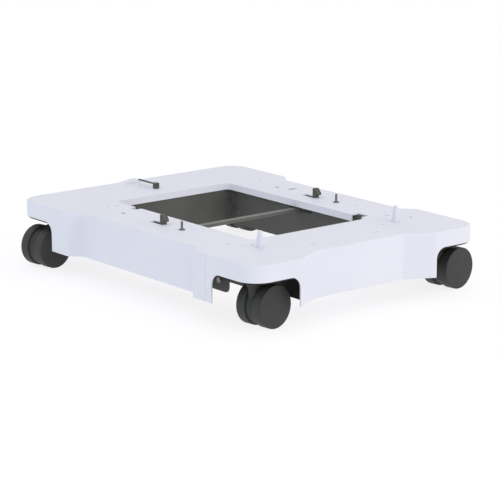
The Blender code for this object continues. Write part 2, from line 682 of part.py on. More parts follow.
def lock_hook(name):
    """A stem with a nose that reaches forwards over the machine's foot."""
    side = SIDES[name]
    foot, top = STRIP_TOP + GAP, DECK_TOP + HOOK_HEIGHT
    tip = HOOK_FRONT - HOOK_NOSE
    outline = [(HOOK_FRONT, foot), (HOOK_BACK, foot), (HOOK_BACK, top - 0.0015),
               (HOOK_BACK - 0.0015, top), (HOOK_FRONT, top - 0.0005), (tip + 0.0012, top - 0.0080),
               (tip, top - 0.0105), (tip + 0.0010, DECK_TOP + HOOK_CLEAR),
               (HOOK_FRONT, DECK_TOP + HOOK_CLEAR)]
    faces = sorted((side * (SLIDE_X - HOOK_WIDTH / 2), side * (SLIDE_X + HOOK_WIDTH / 2)))
    part("lock_hook_" + name, bake(flat_shape([outline], faces[0], faces[1], "YZ")), hook_grey)


def rear_link():
    """The strip behind the frame that joins the slide strips and takes the lever's crank pin."""
    reach = SLIDE_X + 0.006
    pin_x = LEVER_X + CRANK_RADIUS * math.cos(math.radians(CRANK_START))
    pin_y = LEVER_Y + CRANK_RADIUS * math.sin(math.radians(CRANK_START))
    low, high = STRIP_TOP - STRIP, STRIP_TOP
    body = box((-reach, LINK_Y - 0.005, low), (reach, LINK_Y + 0.005, high))
    tab = flat_shape([round_rectangle(0.0125, (pin_y + 0.009 - LINK_Y) / 2, 0.004,
                                      (pin_x, (pin_y + 0.009 + LINK_Y) / 2), 3)], low, high)
    slot = flat_shape([round_rectangle(0.0065, 0.0033, 0.0030, (pin_x - 0.0015, pin_y), 3)],
                      low - 0.01, high + 0.01)
    laps = [side_box(side, 1, (SLIDE_X - 0.0065, LINK_Y - 0.01, low - 0.01),
                     (reach + 0.01, LINK_Y + 0.01, high - STRIP / 2 + GAP / 2))
            for side in SIDES.values()]
    part("rear_link", bake(body, joined=[tab], removed=[slot, *laps]), zinc_steel)


# ---- release lever ---------------------------------------------------------------------------

def lever_support():
    """The plate under the rear cover that the lever turns in."""
    low = CRANK_TOP + 0.0020
    outline = round_rectangle(0.020, 0.028, 0.004, (LEVER_X, 0.2465), 3)
    hole = circle((LEVER_X, LEVER_Y), SHAFT_RADIUS + 0.0006, 16)
    plate = flat_shape([outline, hole], low, low + PLATE)
    riser = box((LEVER_X - 0.016, 0.2190, low + PLATE / 2),
                (LEVER_X + 0.016, 0.2190 + PLATE, FRAME_TOP - SHEET - GAP))
    part("lever_support", bake(plate, joined=[riser]), dark_steel)


def release_lever():
    pivot = axis_empty("lever_axis", (LEVER_X, LEVER_Y, 0.0))
    half = LEVER_BLOCK / 2
    arm_top = DECK_TOP + LEVER_RISE
    arm_low = arm_top - LEVER_ARM
    block = flat_shape([round_rectangle(half, half, 0.0012)], DECK_TOP + 0.0008,
                       arm_low - GAP)
    shaft = cylinder(SHAFT_RADIUS, (0, 0, CRANK_TOP + GAP), (0, 0, DECK_TOP + 0.002))
    part("lever_hub", bake(block, joined=[shaft]), hook_grey, parent=pivot)
    tip_radius = LEVER_WIDTH / 2
    outline = [(-half, -half), (half, -half), (half, half), (LEVER_WIDTH - half, half + 0.003)]
    outline += arc((tip_radius - half, 0.0510), tip_radius, 0, 180, 6)
    arm = flat_shape([outline], arm_low, arm_top)
    part("lever_arm", bake(arm), hook_grey, parent=pivot)
    angle = math.radians(CRANK_START)
    tip = Vector((CRANK_RADIUS * math.cos(angle), CRANK_RADIUS * math.sin(angle), 0.0))
    low, high = CRANK_TOP - CRANK_THICKNESS, CRANK_TOP
    eye = cylinder(0.0075, (0, 0, low), (0, 0, high))
    end = cylinder(0.0045, tip + Vector((0, 0, low)), tip + Vector((0, 0, high)))
    across = Vector((-math.sin(angle), math.cos(angle), 0.0)) * 0.0042
    corners = [-across, tip - across, tip + across, across]
    web = flat_shape([[(c.x, c.y) for c in corners]], low, high)
    pin = cylinder(0.0024, tip + Vector((0, 0, STRIP_TOP - STRIP - 0.001)),
                   tip + Vector((0, 0, low + 0.001)))
    part("lever_crank", bake(eye, joined=[end, web, pin]), zinc_steel, parent=pivot)


# ---- assembly --------------------------------------------------------------------------------

clear_scene()
parts = new_collection("castor base")
cutters = new_collection("cutters")

white_plastic = new_material("white_plastic", (0.77, 0.77, 0.84), 0.42)
dark_steel = new_material("dark_steel", (0.10, 0.10, 0.10), 0.55, 0.3)
black_steel = new_material("black_steel", (0.012, 0.012, 0.012), 0.5, 0.2)
grey_steel = new_material("grey_steel", (0.24, 0.24, 0.24), 0.45, 0.6)
hook_grey = new_material("hook_grey", (0.12, 0.12, 0.11), 0.5)
zinc_steel = new_material("zinc_steel", (0.55, 0.55, 0.56), 0.35, 0.9)
black_nylon = new_material("black_nylon", (0.045, 0.045, 0.045), 0.5)

build_covers()
locating_posts()
guide_pins()
for side_label in SIDES:
    side_rail(side_label)
for end_label in ENDS:
    cross_beam(end_label)
    for side_label in SIDES:
        corner_angle(end_label, side_label)
        castor_bracket(end_label, side_label)
        bracket_bolt(end_label, side_label)
build_castors()
lock_crossbar()
for side_label in SIDES:
    slide_strip(side_label)
    lock_hook(side_label)
rear_link()
lever_support()
release_lever()
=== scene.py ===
"""Looks of the castor base: fine covers, castors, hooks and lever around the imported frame."""
import json
import math

import bmesh
import bpy
from mathutils import Matrix, Vector


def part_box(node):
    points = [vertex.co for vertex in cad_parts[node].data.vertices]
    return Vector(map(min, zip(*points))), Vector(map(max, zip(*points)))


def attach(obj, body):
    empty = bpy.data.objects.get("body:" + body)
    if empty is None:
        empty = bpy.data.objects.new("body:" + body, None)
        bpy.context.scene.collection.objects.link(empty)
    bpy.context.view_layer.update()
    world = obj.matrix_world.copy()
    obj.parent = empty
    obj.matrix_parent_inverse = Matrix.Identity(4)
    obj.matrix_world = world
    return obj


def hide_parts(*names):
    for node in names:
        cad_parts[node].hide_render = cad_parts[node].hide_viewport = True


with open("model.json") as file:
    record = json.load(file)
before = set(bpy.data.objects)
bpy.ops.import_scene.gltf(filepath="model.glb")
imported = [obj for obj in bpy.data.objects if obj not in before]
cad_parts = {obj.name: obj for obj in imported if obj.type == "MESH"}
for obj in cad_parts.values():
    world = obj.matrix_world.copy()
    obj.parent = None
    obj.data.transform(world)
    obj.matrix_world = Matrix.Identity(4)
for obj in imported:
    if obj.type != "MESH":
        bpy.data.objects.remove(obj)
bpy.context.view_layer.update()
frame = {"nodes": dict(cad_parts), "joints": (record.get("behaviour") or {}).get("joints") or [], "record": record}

nodes = frame["nodes"]
joints = {joint["name"]: joint for joint in frame["joints"]}

SIDES = {"left": -1, "right": 1}
ENDS = {"front": -1, "rear": 1}

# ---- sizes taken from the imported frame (metres) -----------------------------------------------

HALF_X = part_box("middle_cover")[1].x
DECK_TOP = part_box("middle_cover")[1].z
SKIRT_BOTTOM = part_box("middle_cover")[0].z
HALF_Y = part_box("rear_cover")[1].y
WHEEL_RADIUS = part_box("castor_wheel_front_left_1")[1].z / 2
FRAME_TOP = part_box("side_rail_left")[1].z
STRIP_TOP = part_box("rear_link")[1].z

# ---- sizes that repeat the part's own ---------------------------------------------------------

COVER = 0.0025
GAP = 0.0004
LIP_BOTTOM = 0.092
CORNER_RADIUS = 0.040
SIDE_POD, SIDE_PANEL, SIDE_DEPTH = 0.189, 0.1666, 0.0206
FRONT_POD, FRONT_PANEL, FRONT_DEPTH = 0.152, 0.099, 0.027
ARCH_X, ARCH_Y, ARCH_RADIUS = 0.155, 0.240, 0.020
OPENING_X, OPENING_FRONT, OPENING_REAR, OPENING_RADIUS = 0.1325, -0.190, 0.212, 0.010
FRONT_NOTCH = (0.150, -0.176, -0.149)      # outer X, front and rear Y
REAR_NOTCH = (-0.1465, 0.131, 0.150)
FAIRING_Y = (0.326, 0.346)
FLANGE_DROP = 0.0125
TOP_ROUND = 0.0035
SLIDE_X, SLOT_FRONT, SLOT_BACK = 0.1770, -0.0015, 0.0365
HOOK_WIDTH, HOOK_FRONT, HOOK_BACK, HOOK_HEIGHT = 0.010, -0.0005, 0.0070, 0.018
HOOK_NOSE, HOOK_CLEAR = 0.0070, 0.0055
LEVER_BLOCK, LEVER_WIDTH, SHAFT_RADIUS = 0.0095, 0.0036, 0.0042
POST_X, POST_Y, POST_RADIUS, POST_TOP_RADIUS = 0.155, -0.242, 0.0068, 0.0040
PIN_X, PIN_Y, PIN_FOOT, PIN_RADIUS = 0.1785, -0.0535, 0.0055, 0.0021
SCREW_HOLE = 0.0026
WHEEL_WIDTH, FORK_WIDTH, WHEEL_GAP = 0.0195, 0.0170, 0.0008
TRAIL, AXLE_RADIUS, STEM_RADIUS = 0.025, 0.0040, 0.0055
DISC_EDGE = 0.0012             # the disc's finish ends this far below the wheel's outer face
HOUSING_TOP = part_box("castor_housing_front_left")[1].z

# ---- view ---------------------------------------------------------------------------------------

CAMERA_TURN = 38.61            # degrees, from looking along +Y towards +X
CAMERA_PITCH = 13.577          # degrees below the horizon
CAMERA_ROLL = -0.14
CAMERA_PLACE = (-2.4044, -3.0318, DECK_TOP + 0.8607)
CAMERA_LENS = 156.7            # mm, on a 36 mm sensor


def make_camera():
    camera = bpy.data.objects.new("camera", bpy.data.cameras.new("camera"))
    camera.data.lens = CAMERA_LENS
    camera.data.sensor_width = 36.0
    camera.data.clip_end = 60.0
    turn, pitch = math.radians(CAMERA_TURN), math.radians(CAMERA_PITCH)
    forward = Vector((math.sin(turn) * math.cos(pitch), math.cos(turn) * math.cos(pitch),
                      -math.sin(pitch)))
    roll = Matrix.Rotation(math.radians(CAMERA_ROLL), 4, "Z")
    look = forward.to_track_quat("-Z", "Y").to_matrix().to_4x4()
    camera.matrix_world = Matrix.Translation(CAMERA_PLACE) @ look @ roll
    bpy.context.scene.collection.objects.link(camera)
    bpy.context.scene.camera = camera


# ---- materials ----------------------------------------------------------------------------------

def shader_of(name, roughness, metallic=0.0, specular=0.5):
    material = bpy.data.materials.new(name)
    material.use_nodes = True
    shader = material.node_tree.nodes["Principled BSDF"]
    shader.inputs["Metallic"].default_value = metallic
    shader.inputs["Roughness"].default_value = roughness
    shader.inputs["Specular IOR Level"].default_value = specular
    return material, shader


def place_noise(tree, scale, detail=2.0, stretch=(1, 1, 1)):
    """Noise over the piece's own place, so that it doesn't slide on a moving piece."""
    where = tree.nodes.new("ShaderNodeTexCoord")
    mapping = tree.nodes.new("ShaderNodeMapping")
    mapping.inputs["Scale"].default_value = stretch
    noise = tree.nodes.new("ShaderNodeTexNoise")
    noise.inputs["Scale"].default_value = scale
    noise.inputs["Detail"].default_value = detail
    tree.links.new(where.outputs["Object"], mapping.inputs["Vector"])
    tree.links.new(mapping.outputs["Vector"], noise.inputs["Vector"])
    return noise.outputs["Fac"]


def spread(tree, value, low, high):
    """The noise's middle range stretched to low and high."""
    node = tree.nodes.new("ShaderNodeMapRange")
    node.inputs["From Min"].default_value = 0.3
    node.inputs["From Max"].default_value = 0.7
    node.inputs["To Min"].default_value = low
    node.inputs["To Max"].default_value = high
    tree.links.new(value, node.inputs["Value"])
    return node.outputs["Result"]


def mixed(tree, factor, first, second):
    node = tree.nodes.new("ShaderNodeMix")
    node.data_type = "RGBA"
    node.inputs["A"].default_value = (*first, 1.0)
    node.inputs["B"].default_value = (*second, 1.0)
    tree.links.new(factor, node.inputs["Factor"])
    return node.outputs["Result"]


def bumped(tree, shader, height, strength, distance):
    node = tree.nodes.new("ShaderNodeBump")
    node.inputs["Strength"].default_value = strength
    node.inputs["Distance"].default_value = distance
    tree.links.new(height, node.inputs["Height"])
    tree.links.new(node.outputs["Normal"], shader.inputs["Normal"])


def surface(name, dark, light, roughness, grain, grain_depth, cloud=9.0, metallic=0.0,
            specular=0.5, stretch=(1, 1, 1)):
    """A finish with slow colour clouds, a fine grain in its bump and its roughness."""
    middle = sum(roughness) / 2
    material, shader = shader_of(name, middle, metallic, specular)
    tree = material.node_tree
    clouds = place_noise(tree, cloud, 3.0, stretch)
    fine = place_noise(tree, grain, 2.0, stretch)
    colour = mixed(tree, spread(tree, clouds, 0.0, 1.0), dark, light)
    tree.links.new(colour, shader.inputs["Base Color"])
    tree.links.new(spread(tree, fine, *roughness), shader.inputs["Roughness"])
    bumped(tree, shader, fine, 0.6, grain_depth)
    return material


def make_materials():
    return {
        "white_plastic": surface("white_plastic", (0.655, 0.660, 0.745), (0.680, 0.685, 0.770),
                                 (0.48, 0.60), 1400, 0.00003, specular=0.25),
        "dark_steel": surface("dark_steel", (0.076, 0.077, 0.072), (0.092, 0.093, 0.087),
                              (0.50, 0.64), 900, 0.00003, cloud=14, specular=0.25),
        "black_steel": surface("black_steel", (0.008, 0.008, 0.009), (0.014, 0.014, 0.014),
                               (0.45, 0.60), 900, 0.00003, specular=0.3),
        "grey_steel": surface("grey_steel", (0.120, 0.122, 0.116), (0.145, 0.147, 0.140),
                              (0.42, 0.56), 900, 0.00003, metallic=0.2, specular=0.3),
        "hook_grey": surface("hook_grey", (0.055, 0.055, 0.050), (0.095, 0.094, 0.086),
                             (0.48, 0.62), 1500, 0.00004, cloud=60, specular=0.3),
        "zinc_steel": surface("zinc_steel", (0.50, 0.50, 0.51), (0.62, 0.62, 0.61),
                              (0.28, 0.42), 700, 0.00002, cloud=40, metallic=0.9),
        "wheel_disc": surface("wheel_disc", (0.035, 0.035, 0.034), (0.042, 0.043, 0.041),
                              (0.50, 0.62), 1600, 0.00003, cloud=30, specular=0.25),
        "wheel_tread": surface("wheel_tread", (0.012, 0.012, 0.011), (0.018, 0.018, 0.016),
                               (0.60, 0.75), 900, 0.00005, cloud=30, specular=0.25),
        "housing": surface("housing", (0.030, 0.031, 0.027), (0.040, 0.041, 0.036),
                           (0.52, 0.66), 1300, 0.00004, cloud=30, specular=0.25)}


# ---- mesh tools ---------------------------------------------------------------------------------

def arc(centre, radius, start, end, steps):
    angles = [math.radians(start + (end - start) * i / steps) for i in range(steps + 1)]
    return [(centre[0] + radius * math.cos(a), centre[1] + radius * math.sin(a)) for a in angles]


def rounded(corners, step_angle=7.5):
    """A closed outline of (x, y, radius) corners, each turned into an arc of its radius."""
    places = [Vector(corner[:2]) for corner in corners]
    points = []
    for before, here, after, corner in zip(places[-1:] + places[:-1], places,
                                           places[1:] + places[:1], corners):
        radius = corner[2]
        incoming, outgoing = (here - before).normalized(), (after - here).normalized()
        turn = math.atan2(incoming.cross(outgoing), incoming.dot(outgoing))
        if radius <= 0 or abs(turn) < 1e-4:
            points.append(tuple(here))
            continue
        reach = radius * math.tan(abs(turn) / 2)
        side = 1 if turn > 0 else -1
        start = here - incoming * reach
        centre = start + Vector((-incoming.y, incoming.x)) * radius * side
        first = math.degrees(math.atan2(start.y - centre.y, start.x - centre.x))
        steps = max(2, math.ceil(abs(math.degrees(turn)) / step_angle))
        points += arc(centre, radius, first, first + math.degrees(turn), steps)
    return points


def inset(points, distance):
    """A counter-clockwise outline moved inwards."""
    points = [Vector(point) for point in points]
    moved = []
    for before, here, after in zip(points[-1:] + points[:-1], points, points[1:] + points[:1]):
        incoming = (here - before).normalized()
        bisector = (incoming + (after - here).normalized()).normalized()
        inward = Vector((-bisector.y, bisector.x))
        moved.append(tuple(here + inward * distance / inward.dot(Vector((-incoming.y, incoming.x)))))
    return moved


def round_rectangle(half_u, half_v, radius, centre=(0, 0), step_angle=11.25):
    u, v = centre
    return rounded([(u + half_u, v + half_v, radius), (u - half_u, v + half_v, radius),
                    (u - half_u, v - half_v, radius), (u + half_u, v - half_v, radius)], step_angle)


def circle(centre, radius, segments=32):
    return arc(centre, radius, 0, 360, segments)[:-1]


def scene_object(name, mesh):
    item = bpy.data.objects.new(name, mesh)
    bpy.context.scene.collection.objects.link(item)
    return item


def from_bmesh(shape, name="tool"):
    mesh = bpy.data.meshes.new(name)
    shape.to_mesh(mesh)
    shape.free()
    return scene_object(name, mesh)


def box(low, high):
    shape = bmesh.new()
    bmesh.ops.create_cube(shape, size=1.0)
    size, middle = Vector(high) - Vector(low), (Vector(high) + Vector(low)) / 2
    bmesh.ops.transform(shape, matrix=Matrix.Diagonal((*size, 1.0)), verts=shape.verts)
    bmesh.ops.translate(shape, vec=middle, verts=shape.verts)
    return from_bmesh(shape)


def cylinder(radius, start, end, segments=48):
    start, end = Vector(start), Vector(end)
    turn = Vector((0, 0, 1)).rotation_difference(end - start).to_matrix().to_4x4()
    shape = bmesh.new()
    bmesh.ops.create_cone(shape, cap_ends=True, segments=segments, radius1=radius, radius2=radius,
                          depth=(end - start).length,
                          matrix=Matrix.Translation((start + end) / 2) @ turn)
    return from_bmesh(shape)


PLANES = {"XY": Matrix.Identity(4),
          "XZ": Matrix(((1, 0, 0, 0), (0, 0, 1, 0), (0, 1, 0, 0), (0, 0, 0, 1))),
          "YZ": Matrix(((0, 0, 1, 0), (1, 0, 0, 0), (0, 1, 0, 0), (0, 0, 0, 1)))}


def flat_shape(loops, low, high, plane="XY"):
    """A flat outline, with any holes, as thick as low to high along the third axis."""
    curve = bpy.data.curves.new("outline", "CURVE")
    curve.dimensions = "2D"
    curve.fill_mode = "BOTH"
    curve.extrude = (high - low) / 2
    for loop in loops:
        spline = curve.splines.new("POLY")
        spline.points.add(len(loop) - 1)
        for point, (u, v) in zip(spline.points, loop):
            point.co = (u, v, 0.0, 1.0)
        spline.use_cyclic_u = True
    source = scene_object("outline", curve)
    mesh = bpy.data.meshes.new_from_object(source.evaluated_get(current()))
    bpy.data.objects.remove(source)
    shape = bmesh.new()
    shape.from_mesh(mesh)
    bmesh.ops.remove_doubles(shape, verts=shape.verts, dist=0.000005)
    bmesh.ops.dissolve_limit(shape, angle_limit=0.001, verts=shape.verts, edges=shape.edges)
    bmesh.ops.translate(shape, vec=(0, 0, (low + high) / 2), verts=shape.verts)
    bmesh.ops.transform(shape, matrix=PLANES[plane], verts=shape.verts)
    bmesh.ops.recalc_face_normals(shape, faces=shape.faces)
    return from_bmesh(shape)


def current():
    bpy.context.view_layer.update()
    return bpy.context.evaluated_depsgraph_get()


def bake(item, joined=(), removed=(), kept=()):
    """The solid's mesh once it is limited by some, joined to others and cut by the rest."""
    for operation, others in (("INTERSECT", kept), ("UNION", joined), ("DIFFERENCE", removed)):
        for other in others:
            modifier = item.modifiers.new(operation.lower(), "BOOLEAN")
            modifier.operation = operation
            modifier.solver = "EXACT"
            modifier.object = other
    mesh = bpy.data.meshes.new_from_object(item.evaluated_get(current()))
    for used in (item, *joined, *removed, *kept):
        bpy.data.objects.remove(used)
    return mesh


def turned(profile, segments=96):
    """A closed profile of (radius, height) turned about Z."""
    rings = []
    shape = bmesh.new()
    for radius, height in profile:
        if radius < 1e-7:
            rings.append([shape.verts.new((0.0, 0.0, height))])
            continue
        rings.append([shape.verts.new((*place, height))
                      for place in circle((0, 0), radius, segments)])
    closed = profile[0][0] > 1e-7
    pairs = list(zip(rings, rings[1:] + (rings[:1] if closed else [])))
    for first, second in pairs if closed else pairs[:len(rings) - 1]:
        for i in range(segments):
            j = (i + 1) % segments
            corners = [first[i % len(first)], first[j % len(first)],
                       second[j % len(second)], second[i % len(second)]]
            shape.faces.new(list(dict.fromkeys(corners)))
    bmesh.ops.recalc_face_normals(shape, faces=shape.faces)
    return from_bmesh(shape)


def smooth_by_angle(mesh, angle=32.0):
    mesh.shade_smooth()
    mesh.set_sharp_from_angle(angle=math.radians(angle))


def soften(item, width, segments=2, angle=32.0):
    """Round the hard edges by width, and keep the large faces flat."""
    bevel = item.modifiers.new("edges", "BEVEL")
    bevel.limit_method = "ANGLE"
    bevel.angle_limit = math.radians(angle)
    bevel.width = width
    bevel.segments = segments
    normals = item.modifiers.new("normals", "WEIGHTED_NORMAL")
    normals.weight = 50
    normals.keep_sharp = True


def piece(name, mesh, material, body, stands_for, place=None, edge=0.0004, segments=2):
    """A visible piece that rides on a body and stands for CAD nodes."""
    mesh.name = name
    mesh.materials.clear()
    mesh.materials.append(material)
    smooth_by_angle(mesh)
    item = scene_object(name, mesh)
    if place is not None:
        item.matrix_world = place
    if edge:
        soften(item, edge, segments)
    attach(item, body)
    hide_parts(*stands_for)


# ---- covers -------------------------------------------------------------------------------------

def deck_outline():
    """Plan outline of the covers, counter-clockwise from the front panel's right end."""
    panel_x, panel_y = HALF_X - SIDE_DEPTH, HALF_Y - FRONT_DEPTH
    right = [(FRONT_PANEL, -panel_y, 0.010), (FRONT_POD, -HALF_Y, 0.010),
             (HALF_X, -HALF_Y, CORNER_RADIUS), (HALF_X, -SIDE_POD, 0.005),
             (panel_x, -SIDE_PANEL, 0.005), (panel_x, SIDE_PANEL, 0.005),
             (HALF_X, SIDE_POD, 0.005), (HALF_X, HALF_Y, CORNER_RADIUS)]
    left = [(-x, y, radius) for x, y, radius in reversed(right)]
    return rounded(right + left, 5.0)


def weigh_edges(item, wanted, width, segments):
    """A bevel on the edges whose two ends satisfy wanted."""
    weights = item.data.attributes.new("bevel_weight_edge", "FLOAT", "EDGE")
    for edge in item.data.edges:
        first, second = (item.data.vertices[index].co for index in edge.vertices)
        weights.data[edge.index].value = 1.0 if wanted(first, second) else 0.0
    bevel = item.modifiers.new("round", "BEVEL")
    bevel.limit_method = "WEIGHT"
    bevel.width = width
    bevel.segments = segments


def arch_cutter(side, end):
    xs = sorted((side * ARCH_X, side * (HALF_X + 0.02)))
    ys = sorted((end * ARCH_Y, end * (HALF_Y + 0.02)))
    arch = box((xs[0], ys[0], 0.0), (xs[1], ys[1], LIP_BOTTOM))

    def inner_top(first, second):
        if min(first.z, second.z) < LIP_BOTTOM - 0.001:
            return False
        along_x = max(abs(first.y), abs(second.y)) < ARCH_Y + 0.001
        along_y = max(abs(first.x), abs(second.x)) < ARCH_X + 0.001
        return along_x or along_y

    weigh_edges(arch, inner_top, ARCH_RADIUS, 12)
    return arch


def cover_shell():
    """All the covers as one hollow shell, before they are parted at the seams."""
    outer = flat_shape([deck_outline()], SKIRT_BOTTOM, DECK_TOP)
    weigh_edges(outer, lambda a, b: min(a.z, b.z) > DECK_TOP - 0.001, TOP_ROUND, 6)
    hollow = flat_shape([inset(deck_outline(), COVER)], SKIRT_BOTTOM - 0.01, DECK_TOP - COVER)
    weigh_edges(hollow, lambda a, b: min(a.z, b.z) > DECK_TOP - COVER - 0.001, 0.0015, 2)
    arches = [arch_cutter(side, end) for side in SIDES.values() for end in ENDS.values()]
    return bake(outer, removed=[hollow, *arches])


def hook_slot(side):
    return round_rectangle(HOOK_WIDTH / 2 + 0.0012, (SLOT_BACK - SLOT_FRONT) / 2, 0.0015,
                           (side * SLIDE_X, (SLOT_FRONT + SLOT_BACK) / 2))


def opening_outline(margin=0.0):
    """The opening in the deck, or its flange's outer face at a margin."""
    return round_rectangle(OPENING_X + margin, (OPENING_REAR - OPENING_FRONT) / 2 + margin,
                           OPENING_RADIUS + margin, (0, (OPENING_FRONT + OPENING_REAR) / 2))


def edge_notch(outer_x, front_y, rear_y):
    """A notch in a side edge of the opening, through its flange."""
    xs = sorted((math.copysign(OPENING_X - 0.001, outer_x), outer_x))
    return box((xs[0], front_y, DECK_TOP - 2 * FLANGE_DROP), (xs[1], rear_y, DECK_TOP + 0.01))


def cover_limit(name):
    """The stretch of the covers that one cover takes up."""
    low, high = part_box(name)
    return box((-HALF_X - 0.02, low.y, 0.0), (HALF_X + 0.02, high.y, 0.2))


def through_deck(loops):
    return flat_shape(loops, DECK_TOP - 2 * COVER, DECK_TOP + 0.01)


def dimples(places):
    """Shallow round dents in the deck."""
    return [cylinder(radius, (x, y, DECK_TOP - 0.0009), (x, y, DECK_TOP + 0.005), 24)
            for x, y, radius in places]


def middle_cover(shell, white):
    holes = [opening_outline()]
    for side in SIDES.values():
        holes += [hook_slot(side),
                  circle((side * PIN_X, PIN_Y), PIN_FOOT + GAP),
                  round_rectangle(0.0030, 0.0060, 0.0012, (side * 0.180, 0.121))]
    for centre in ((-0.1520, -0.2178), (-0.1820, -0.1892), (0.1867, -0.1760), (-0.1675, 0.1876),
                   (-0.1522, 0.1806), (0.1965, 0.1934)):
        holes.append(circle(centre, SCREW_HOLE, 20))
    holes.append(round_rectangle(0.0060, 0.0020, 0.0015, (0.1768, -0.1955)))
    holes.append(rounded([(0.177, 0.087, 0.001), (0.190, 0.084, 0.001), (0.207, 0.089, 0.001),
                          (0.199, 0.092, 0.001), (0.190, 0.095, 0.001)]))
    flange = flat_shape([opening_outline(COVER), opening_outline()], DECK_TOP - FLANGE_DROP,
                        DECK_TOP - COVER / 2)
    dents = dimples([(0.191, -0.095, 0.004), (0.1914, 0.2360, 0.002)])
    body = bake(scene_object("tool", shell.copy()), kept=[cover_limit("middle_cover")],
                joined=[flange],
                removed=[through_deck(holes), edge_notch(*FRONT_NOTCH), edge_notch(*REAR_NOTCH),
                         *dents])
    piece("middle_cover_shell", body, white, "root", ["middle_cover"], edge=0.0006)


def front_cover(shell, white):
    holes = [round_rectangle(0.0035, 0.0014, 0.0012, (0.1213, -0.2450)),
             circle((0.2003, -0.2317), 0.0035)]
    for side in SIDES.values():
        holes += [circle((side * POST_X, POST_Y), POST_RADIUS + GAP),
                  round_rectangle(0.0050, 0.0016, 0.0014, (side * 0.072, -0.281))]
    body = bake(scene_object("tool", shell.copy()), kept=[cover_limit("front_cover")],
                removed=[through_deck(holes), *dimples([(-0.1687, -0.2592, 0.003)])])
    piece("front_cover_shell", body, white, "root", ["front_cover"], edge=0.0006)


def rear_cover(shell, white):
    base, ridge = DECK_TOP - 0.001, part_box("rear_cover")[1].z
    fairing = rounded([(-0.042, base, 0), (0.012, base, 0), (0.009, ridge - 0.001, 0.002),
                       (0.002, ridge, 0.006), (-0.012, ridge - 0.0012, 0.010),
                       (-0.028, DECK_TOP + 0.0008, 0.020)])
    hole = circle(joints["lever_turn"]["pos_m"][:2], SHAFT_RADIUS + 0.0012)
    body = bake(scene_object("tool", shell.copy()), kept=[cover_limit("rear_cover")],
                joined=[flat_shape([fairing], *FAIRING_Y, "XZ")], removed=[through_deck([hole])])
    piece("rear_cover_shell", body, white, "root", ["rear_cover"], edge=0.0006)


def make_covers(white):
    shell = cover_shell()
    middle_cover(shell, white)
    front_cover(shell, white)
    rear_cover(shell, white)
    bpy.data.meshes.remove(shell)


# ---- things that stand on the deck ----------------------------------------------------------------

def make_posts(white):
    for name, side in SIDES.items():
        node = "locating_post_" + name
        low, high = (corner.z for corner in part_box(node))
        tip = arc((POST_TOP_RADIUS - 0.0014, high - 0.0014), 0.0014, 90, 10, 6)
        mesh = bake(turned([(0.0, high), *tip, (POST_RADIUS, DECK_TOP + 0.001),
                            (POST_RADIUS, low), (0.0, low)], 48))
        place = Matrix.Translation((side * POST_X, POST_Y, 0.0))
        piece(node + "_turned", mesh, white, "root", [node], place, edge=0)


def make_pins(grey):
    for name, side in SIDES.items():
        node = "guide_pin_" + name
        low, high = (corner.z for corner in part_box(node))
        mesh = bake(turned([(0.0, high), *arc((0.0011, high - 0.001), 0.001, 90, 0, 5),
                            (PIN_RADIUS, high - 0.002), (PIN_RADIUS, DECK_TOP + 0.0030),
                            (PIN_RADIUS + 0.0006, DECK_TOP + 0.0020),
                            (PIN_FOOT - 0.0004, DECK_TOP + 0.0014),
                            (PIN_FOOT, DECK_TOP + 0.0008), (PIN_FOOT, FRAME_TOP + GAP),
                            (PIN_RADIUS, FRAME_TOP + GAP), (PIN_RADIUS, low), (0.0, low)], 40))
        place = Matrix.Translation((side * PIN_X, PIN_Y, 0.0))
        piece(node + "_turned", mesh, grey, "root", [node], place, edge=0)


def make_hooks(grey):
    foot, top, tip = STRIP_TOP + GAP, DECK_TOP + HOOK_HEIGHT, HOOK_FRONT - HOOK_NOSE
    outline = rounded([(HOOK_FRONT, foot, 0), (HOOK_BACK, foot, 0), (HOOK_BACK, top, 0.0020),
                       (HOOK_FRONT, top - 0.0005, 0.0015), (tip, top - 0.0090, 0.0012),
                       (tip + 0.0008, DECK_TOP + HOOK_CLEAR, 0.0006),
                       (HOOK_FRONT, DECK_TOP + HOOK_CLEAR, 0.0006)])
    for name, side in SIDES.items():
        node = "lock_hook_" + name
        faces = sorted((side * (SLIDE_X - HOOK_WIDTH / 2), side * (SLIDE_X + HOOK_WIDTH / 2)))
        mesh = bake(flat_shape([outline], faces[0], faces[1], "YZ"))
        piece(node + "_body", mesh, grey, "lock_slider", [node], edge=0.0006)


def make_lever(grey):
    x, y, _ = joints["lever_turn"]["pos_m"]
    low, high = (corner.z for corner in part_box("lever_arm"))
    half, tip = LEVER_BLOCK / 2, LEVER_WIDTH / 2
    outline = rounded([(-half, -half, 0.0008), (half, -half, 0.0008), (half, half, 0.0010),
                       (LEVER_WIDTH - half, half + 0.003, 0.0020),
                       (LEVER_WIDTH - half, 0.0510 + tip, tip - 0.0001),
                       (-half, 0.0510 + tip, tip - 0.0001)])
    place = Matrix.Translation((x, y, 0.0))
    piece("lever_arm_body", bake(flat_shape([outline], low, high)), grey, "release_lever",
          ["lever_arm"], place, edge=0.0005, segments=3)
    block = flat_shape([round_rectangle(half, half, 0.0012)], DECK_TOP + 0.0008, low - GAP)
    shaft = cylinder(SHAFT_RADIUS, (0, 0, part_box("lever_hub")[0].z), (0, 0, DECK_TOP + 0.002))
    piece("lever_hub_body", bake(block, joined=[shaft]), grey, "release_lever", ["lever_hub"],
          place, edge=0.0005)


# ---- castors --------------------------------------------------------------------------------------

